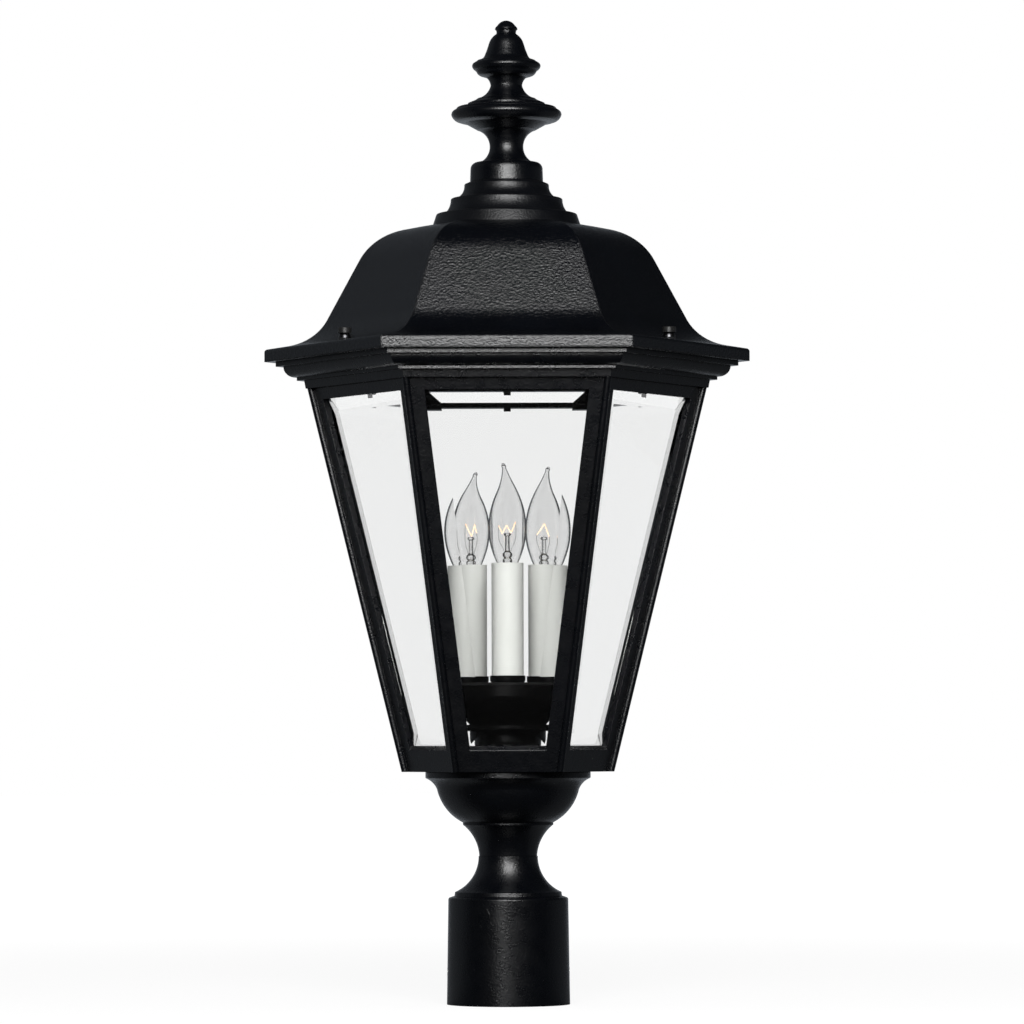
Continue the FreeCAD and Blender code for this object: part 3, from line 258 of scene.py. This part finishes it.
def pane_glass():
    """Polished plate glass with a trace of haze in places."""
    m = Nodes("clear_plate_glass", Transmission_Weight=1.0, IOR=1.5, Base_Color=(0.994, 0.997, 0.995, 1))
    m.set(Roughness=m.ramp(m.noise(60 * MM, detail=5.0), (0.62, 0.0), (0.9, 0.012)))
    m.clear_to_lamps()
    return m.material


def blown_glass(name, middle, painted_rim_tone, low=0.58, high=0.75):
    """Thin clear glass with faint painted streaks of reflection.

    Its colour is painted from `middle` down to a dark outline tone between `low` and `high`, as parts of the
    way to edge on: painted shade where the wall turns edge on.
    """
    m = Nodes(name, Transmission_Weight=1.0, IOR=1.45, Roughness=0.04)
    edge_on = m.add("ShaderNodeLayerWeight", Blend=0.5).outputs["Facing"]
    # painted reflection: faint streaks that shift where the painted shade falls
    painted_streaks = m.math("MULTIPLY", m.math("SUBTRACT", m.noise(4 * MM, stretch=(1, 1, 0.12)), 0.5), 0.5)
    painted_shade_factor = m.math("ADD", edge_on, m.math("MULTIPLY", painted_streaks, m.math("SUBTRACT", 1.0, edge_on)))
    # painted shade: a slightly darker face-on middle, a lighter band, and a dark outline edge on
    tones = ((0.02, middle * 0.95), (low / 2, middle * 1.03), (low, middle * 0.98), (high, painted_rim_tone))
    m.set(Base_Color=m.ramp(painted_shade_factor, *tones), Normal=m.bump(m.noise(9 * MM, detail=1.0), 0.03 * MM))
    m.clear_to_lamps()
    return m.material


def sleeve_plastic():
    """Off-white satin sleeve with a slight mottle."""
    m = Nodes("off_white_sleeve", Specular_IOR_Level=0.3)
    m.set(Base_Color=m.patches(30 * MM, (0.60, 0.61, 0.58), (0.63, 0.64, 0.61), detail=4.0),
          Roughness=m.patches(3 * MM, 0.45, 0.58),
          Normal=m.bump(m.noise(2 * MM), 0.02 * MM, m.soft_edges(0.4 * MM)))
    return m.material


def mottled(name, size, tones, roughness):
    """Plain moulded plastic, whose tone and gloss each drift between two values."""
    m = Nodes(name)
    m.set(Base_Color=m.patches(size, *tones), Roughness=m.patches(2 * MM, *roughness))
    return m.material


def glowing_wire():
    m = Nodes("glowing_filament", Base_Color=(0.4, 0.3, 0.22, 1), Roughness=0.5, Emission_Strength=2.0)
    m.set(Emission_Color=m.ramp(m.noise(2 * MM), (0.35, (1.0, 0.50, 0.22)), (0.6, (1.0, 0.74, 0.50))))
    return m.material


LOOKS = {
    "black_casting": powder_coat("sandy_powder_coat", grain_size=1.3 * MM, grain_depth=0.20 * MM,
                                 edge=0.7 * MM),
    "black_inner_metal": smooth_black("smooth_black_coat", 0.0005, 0.22, edge=1.0 * MM, specular=0.2),
    "clear_glass": pane_glass(),
    "black_clip": smooth_black("black_spring_steel", 0.012, 0.35),
    "zinc_steel": plain_metal("zinc_steel", (0.58, 0.58, 0.55), 0.35),
    "roof_fastener": smooth_black("black_screw_steel", 0.012, 0.35, edge=0.4 * MM),
    "candle_sleeve": sleeve_plastic(),
    "socket_phenolic": mottled("dark_phenolic", 6 * MM, tones=(0.02, 0.04), roughness=(0.3, 0.45)),
    "brass": plain_metal("pressed_brass", (0.72, 0.55, 0.26), 0.3),
    "lead_jacket": mottled("lead_jacket", 8 * MM, tones=(0.6, 0.75), roughness=(0.45, 0.6)),
    "bulb_glass": blown_glass("thin_blown_glass", middle=0.965, painted_rim_tone=0.07),
    "filament": glowing_wire(),
}
# nodes that look a little different from the rest of their slot
NODE_LOOKS = {
    "roof_shell": powder_coat("roof_powder_coat", grain_size=1.6 * MM, grain_depth=0.50 * MM,
                              edge=2.2 * MM, gloss=(0.20, 0.26), dull_edge=0.7),
    "post_fitter": powder_coat("fitter_powder_coat", grain_size=1.2 * MM, grain_depth=0.18 * MM,
                               edge=0.6 * MM, gloss=(0.25, 0.32), scratched=True),
    "stepped_base": powder_coat("base_powder_coat", grain_size=1.3 * MM, grain_depth=0.25 * MM,
                                edge=0.7 * MM, gloss=(0.34, 0.42)),
    "cluster_cover": smooth_black("cover_coat", 0.008, 0.16, edge=1.0 * MM, specular=0.15),
    "roof_screw_washers": plain_metal("worn_dome", (0.10, 0.10, 0.105), 0.3),
}
STEM_GLASS = blown_glass("stem_glass", middle=0.90, painted_rim_tone=0.02, low=0.16, high=0.48)
SUPPORT_WIRE = plain_metal("support_wire", (0.22, 0.22, 0.22), 0.3)

for part in frame["record"]["subparts"]:
    mesh = nodes[part["node"]].data
    mesh.materials.clear()
    mesh.materials.append(NODE_LOOKS.get(part["node"], LOOKS[part["material_slot"]]))


# ---------------------------------------------------------------- bulbs

# heights are above the sleeve's top, and all sizes of a bulb are in mm until its points are made
# the envelope's outline: height and radius
ENVELOPE = ((-2.0, 5.8), (0.3, 7.5), (6, 9.8), (14, 12.1), (23, 13.1), (33, 12.3), (43, 9.7), (53, 5.4),
            (59, 3.0), (63, 1.9), (65, 1.45), (66.3, 1.6), (67.4, 1.4), (68.3, 0.7))
GLASS_WALL = 0.45
BELLY_HEIGHT = 23.0
BEND_HEIGHT = 50.0
BEND_POWER = 1.4
TIP_HEIGHT = 66.8
TIP_CAP = 0.2
CAVITY_WALL_TOP = 67.0
CAVITY_TOP = 67.4
# the stem's outline: height and radius
STEM = ((0, 3.2), (2.0, 3.2), (2.9, 2.3), (3.8, 3.2), (5.2, 3.3), (6.2, 2.4), (7.2, 1.6), (13.4, 1.5),
        (15.4, 1.5), (15.8, 2.2), (16.8, 2.4), (17.5, 1.8))
STEM_ROD_TOP = 13.4
STEM_TOP = 17.6
# how much longer each bulb's stem is, below the top of its rod
STEM_RISES = {"front": 3.0, "left": 1.8, "right": 1.8}
# how far each bulb's tip leans to the right and how far it falls short
TIPS = {"front": (-2.5, 0.0), "left": (3.1, 4.0), "right": (2.8, 0.4)}
# each filament's zigzag: across and up
ZIGZAGS = {
    "front": ((-6.0, 25.5), (-3.4, 20.2), (-0.6, 25.8), (2.6, 20.6), (5.6, 28.0)),
    "left": ((-3.8, 28.4), (0.4, 19.8), (2.6, 28.0), (3.9, 22.0)),
    "right": ((-4.8, 20.8), (0.4, 28.4), (3.6, 19.6)),
}
COIL_RADIUS = 0.32
COIL_PITCH = 0.5
FILAMENT_RADIUS = 0.11
# where a support wire has its foot and its bow, outward and up, and its neck, outward from the
# filament's end and up
SUPPORT_FOOT = (1.4, 5.0)
SUPPORT_BOW = (2.2, 9.0)
SUPPORT_NECK = (0.9, 17.0)
SUPPORT_RADIUS = 0.16


def new_piece(data, body, look):
    piece = bpy.data.objects.new(data.name, data)
    bpy.context.scene.collection.objects.link(piece)
    data.materials.append(look)
    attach(piece, body)
    return piece


def between(before, start, end, after, t):
    """A smooth value at t, from start at 0 to end at 1, with one known value on each side of them."""
    slope = end - before
    bend = 2 * before - 5 * start + 4 * end - after
    twist = 3 * start - before - 3 * end + after
    return 0.5 * (2 * start + slope * t + bend * t ** 2 + twist * t ** 3)


def smoothed(stations, parts):
    """Points on a smooth line through the stations, with `parts` points in each stretch."""
    ends = [stations[0], *stations, stations[-1]]
    line = []
    for four in zip(ends, ends[1:], ends[2:], ends[3:]):
        for i in range(parts):
            line.append(tuple(between(*values, i / parts) for values in zip(*four)))
    return line + [stations[-1]]


def ring(bm, centre, radius, segments):
    """Vertices round a centre, or one alone where the radius is nothing."""
    if radius == 0:
        return [bm.verts.new(centre)]
    turns = [2 * math.pi * i / segments for i in range(segments)]
    return [bm.verts.new(centre + Vector((math.cos(turn), math.sin(turn), 0)) * radius) for turn in turns]


def lathe(name, outline, place, segments=40):
    """A closed turned mesh from (height, radius) points. `place` gives the centre at a height."""
    bm = bmesh.new()
    rings = [ring(bm, place(height), radius * MM, segments) for height, radius in outline]
    for low, high in zip(rings, rings[1:] + rings[:1]):
        if len(low) == 1 and len(high) == 1:
            continue
        for i in range(segments):
            j = (i + 1) % segments
            corners = [low[i % len(low)], low[j % len(low)], high[j % len(high)], high[i % len(high)]]
            bm.faces.new(list(dict.fromkeys(corners)))
    bmesh.ops.recalc_face_normals(bm, faces=bm.faces)
    for face in bm.faces:
        face.smooth = True
    mesh = bpy.data.meshes.new(name)
    bm.to_mesh(mesh)
    bm.free()
    return mesh


def wire(name, lines, radius, kind="POLY"):
    """A curve with one round-sectioned spline for each line of points."""
    curve = bpy.data.curves.new(name, "CURVE")
    curve.dimensions = "3D"
    curve.bevel_depth = radius * MM
    curve.bevel_resolution = 1
    curve.use_fill_caps = True
    for line in lines:
        spline = curve.splines.new(kind)
        spline.points.add(len(line) - 1)
        for point, where in zip(spline.points, line):
            point.co = (*where, 1)
        if kind == "NURBS":
            spline.order_u = 3
            spline.use_endpoint_u = True
    return curve


def coil(line, radius, pitch, steps=8):
    """A fine coil wound along a line of points, with this many steps in a turn."""
    points = []
    turn = 0.0
    for start, end in zip(line, line[1:]):
        along = (end - start).normalized()
        side = along.cross(Vector((0, 1, 0))).normalized()
        other = along.cross(side)
        count = max(2, round((end - start).length / (pitch * MM) * steps))
        for i in range(count):
            outward = side * math.cos(turn) + other * math.sin(turn)
            points.append(start.lerp(end, i / count) + outward * radius * MM)
            turn += 2 * math.pi / steps
    return points


def add_envelope(name, body, centre):
    outside = smoothed(ENVELOPE, parts=4)
    inside = [(h, r - GLASS_WALL) for h, r in reversed(outside) if h < CAVITY_WALL_TOP]
    envelope = [*outside, (outside[-1][0] + TIP_CAP, 0), (CAVITY_TOP, 0), *inside]
    glass = new_piece(lathe(f"{name}_envelope", envelope, centre), body, LOOKS["bulb_glass"])
    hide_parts(f"bulb_{name}_glass")


def add_stem(name, body, centre):
    rise = STEM_RISES[name]
    sides = [(h + rise * min(1.0, h / STEM_ROD_TOP), r) for h, r in smoothed(STEM, parts=3)]
    stem = [(0, 0), *sides, (STEM_TOP + rise, 0)]
    foot = new_piece(lathe(f"{name}_stem", stem, centre, segments=24), body, STEM_GLASS)
    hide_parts(f"bulb_{name}_stem")


def add_filament(name, body, across_bulb):
    wound = coil(across_bulb(ZIGZAGS[name]), COIL_RADIUS, COIL_PITCH)
    glowing = wire(f"{name}_filament", [wound], FILAMENT_RADIUS)
    filament = new_piece(glowing, body, LOOKS["filament"])
    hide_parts(f"bulb_{name}_filament")


def add_supports(name, body, across_bulb):
    """Two wires that rise from the stem, bow outward and meet the filament's ends."""
    supports = []
    for side, end in ((-1, ZIGZAGS[name][0]), (1, ZIGZAGS[name][-1])):
        lower = [(side * outward, up) for outward, up in (SUPPORT_FOOT, SUPPORT_BOW)]
        neck = (end[0] + side * SUPPORT_NECK[0], SUPPORT_NECK[1])
        supports.append(across_bulb([*lower, neck, end]))
    new_piece(wire(f"{name}_supports", supports, SUPPORT_RADIUS, "NURBS"), body, SUPPORT_WIRE)


def add_bulb(name):
    """The envelope with its pulled tip, and the stem, the coiled filament and its supports inside it."""
    low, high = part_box(f"candle_sleeve_{name}")
    top = Vector(((low[0] + high[0]) / 2, (low[1] + high[1]) / 2, high[2]))
    lean, short = TIPS[name]
    body = f"bulb_{name}"

    def centre(height):
        bent = max(0.0, (height - BEND_HEIGHT) / (TIP_HEIGHT - BEND_HEIGHT)) ** BEND_POWER
        fall = short * max(0.0, (height - BELLY_HEIGHT) / (TIP_HEIGHT - BELLY_HEIGHT))
        return top + Vector((lean * bent, 0, height - fall)) * MM

    def across_bulb(line):
        return [top + Vector((across, 0, up)) * MM for across, up in line]

    add_envelope(name, body, centre)
    add_stem(name, body, centre)
    add_filament(name, body, across_bulb)
    add_supports(name, body, across_bulb)


for bulb in BULBS:
    add_bulb(bulb)


# ---------------------------------------------------------------- studio

CAMERA_DISTANCE = 3.85
CAMERA_HEIGHT = 0.183
AIM = Vector((0.0032, 0, 0.3392))
FOCAL_MM = 196.0
SENSOR_MM = 36.0
ROLL = math.radians(-0.14)

FLOOR_SIDE = 28.0
FLOOR_GREY = 0.16
FLOOR_GREY_IN_GLOSS = 0.02
# how bright the floor looks near the object and far from it, and where that changes, in metres
FLOOR_NEAR, FLOOR_FAR = 0.86, 1.0
FLOOR_FADE = (0.4, 2.4)

# the level that scattered light finds
DIFFUSE_LEVEL = 0.42
# what gloss finds: the room's tint, its levels, and the share of a wall's level above its top
ROOM_TINT = (0.84, 0.91, 1.0)
BEHIND, LEFT, RIGHT, EVERYWHERE = 0.45, 0.12, 0.075, 0.006
ABOVE_WALLS = 0.1
# what a smooth pane finds at its sides
BESIDE_PANES = 1.6
# where these change, as parts of a direction of length 1: x to the right, y to the back, z up
BEHIND_FROM, BEHIND_TOP = (0.82, 0.99), (0.12, 0.40)
LEFT_TO_RIGHT, WALLS_FROM = (-0.4, 0.4), (-0.35, 0.2)
LEFT_TOP, RIGHT_TOP = (0.50, 0.75), (0.05, 0.40)
BESIDE_FROM = (0.0, 0.4)


def add_camera():
    lens = bpy.data.cameras.new("photo_camera")
    lens.lens = FOCAL_MM
    lens.sensor_width = SENSOR_MM
    lens.clip_end = 100.0
    camera = bpy.data.objects.new("photo_camera", lens)
    bpy.context.scene.collection.objects.link(camera)
    place = Vector((AIM.x, -CAMERA_DISTANCE, CAMERA_HEIGHT))
    look = (AIM - place).to_track_quat("-Z", "Y").to_matrix().to_4x4()
    camera.matrix_world = Matrix.Translation(place) @ look @ Matrix.Rotation(ROLL, 4, "Z")
    bpy.context.scene.camera = camera


def rays(t):
    """Whether a ray is one of sight, through glass too; one of gloss; and one that a smooth pane mirrors.

    Each is zero once a ray has scattered.
    """
    path = t.add("ShaderNodeLightPath").outputs
    clean = t.math("SUBTRACT", 1.0, t.math("MINIMUM", path["Diffuse Depth"], 1.0))
    gloss = t.math("MULTIPLY", t.math("MINIMUM", path["Glossy Depth"], 1.0), clean)
    through = t.math("MULTIPLY", path["Is Transmission Ray"], t.math("SUBTRACT", clean, gloss))
    back = t.math("SUBTRACT", 1.0, path["Is Transmission Ray"])
    sharp = t.math("MULTIPLY", t.math("MULTIPLY", path["Is Singular Ray"], back), gloss)
    return t.math("MAXIMUM", path["Is Camera Ray"], through), gloss, sharp


def room(t, gloss, sharp, x, y, z):
    """What gloss finds in a direction: bright behind, dim at the left, darker at the right, little in front.

    A smooth pane finds white at its sides too.
    """
    behind = t.math("MULTIPLY", t.step(y, *BEHIND_FROM, 0, BEHIND), t.step(z, *BEHIND_TOP, 1, 0))
    left = t.math("MULTIPLY", t.step(x, *LEFT_TO_RIGHT, LEFT, 0), t.step(z, *LEFT_TOP, 1, ABOVE_WALLS))
    right = t.math("MULTIPLY", t.step(x, *LEFT_TO_RIGHT, 0, RIGHT), t.step(z, *RIGHT_TOP, 1, ABOVE_WALLS))
    walls = t.math("MULTIPLY", t.step(y, *WALLS_FROM, 0, 1), t.math("ADD", left, right))
    beside = t.math("MULTIPLY", sharp, t.step(y, *BESIDE_FROM, 0, BESIDE_PANES))
    found = t.math("MAXIMUM", t.math("MAXIMUM", behind, beside), t.math("ADD", walls, EVERYWHERE))
    return t.math("MULTIPLY", gloss, found)


def room_tint(t, gloss, sharp):
    """White, but bluish to gloss on anything but a smooth pane."""
    return t.ramp(t.math("SUBTRACT", gloss, sharp), (0, WHITE), (1, ROOM_TINT))


def add_floor():
    """Pale floor that runs into the white backdrop and keeps the object's shadow."""
    mesh = bpy.data.meshes.new("floor")
    half = FLOOR_SIDE / 2
    mesh.from_pydata([(-half, -half, 0), (half, -half, 0), (half, half, 0), (-half, half, 0)], [],
                     [(0, 1, 2, 3)])
    floor = bpy.data.objects.new("floor", mesh)
    bpy.context.scene.collection.objects.link(floor)
    m = Nodes("pale_floor", Roughness=0.9, Specular_IOR_Level=0.0)
    seen, gloss, sharp = rays(m)
    away = m.vector("LENGTH", m.where).outputs["Value"]
    x, y, _ = m.split(m.vector("NORMALIZE", m.where).outputs["Vector"])
    glow = m.math("MULTIPLY", seen, m.step(away, *FLOOR_FADE, FLOOR_NEAR, FLOOR_FAR))
    m.set(Emission_Color=room_tint(m, gloss, sharp),
          Emission_Strength=m.math("ADD", glow, room(m, gloss, sharp, x, y, 0.0)),
          Base_Color=m.ramp(gloss, (0, FLOOR_GREY), (1, FLOOR_GREY_IN_GLOSS)))
    mesh.materials.append(m.material)
    floor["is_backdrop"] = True


def add_world():
    """White to rays of sight, the room to gloss, and a plain level to scattered light."""
    world = bpy.data.worlds.new("studio")
    bpy.context.scene.world = world
    world.use_nodes = True
    t = Tree(world.node_tree)
    seen, gloss, sharp = rays(t)
    direction = t.split(t.add("ShaderNodeTexCoord").outputs["Generated"])
    plain = t.math("MULTIPLY", t.math("SUBTRACT", 1.0, gloss), DIFFUSE_LEVEL)
    level = t.math("ADD", room(t, gloss, sharp, *direction), plain)
    background = t.tree.nodes["Background"]
    t.feed(background.inputs["Color"], room_tint(t, gloss, sharp))
    t.feed(background.inputs["Strength"], t.math("MAXIMUM", seen, level))


def add_softbox(name, place, aim, width, height, power, seen_in_glass=False):
    """A softbox, which the camera doesn't see, and which shows through glass only where this says so."""
    lamp = bpy.data.lights.new(name, "AREA")
    lamp.shape = "RECTANGLE"
    lamp.size, lamp.size_y, lamp.energy = width, height, power
    box = bpy.data.objects.new(name, lamp)
    bpy.context.scene.collection.objects.link(box)
    turn = (Vector(aim) - Vector(place)).to_track_quat("-Z", "Y").to_matrix().to_4x4()
    box.matrix_world = Matrix.Translation(Vector(place)) @ turn
    box.visible_camera = False
    box.visible_transmission = seen_in_glass


add_camera()
add_floor()
add_world()
add_softbox("key", place=(0.07, -1.32, 0.93), aim=(0, 0, 0.55), width=0.90, height=0.75, power=20)
add_softbox("low_left", place=(-0.52, -3.0, 0.72), aim=(0, 0, 0.3), width=0.55, height=0.5, power=9.5)
add_softbox("top_front", place=(0, -1.7, 2.2), aim=(0, 0, 0.5), width=1.0, height=0.5, power=4.0,
            seen_in_glass=True)
bpy.context.scene.view_settings.view_transform = "Standard"

[[list(corner) for corner in box] for box in (cad_box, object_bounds())]
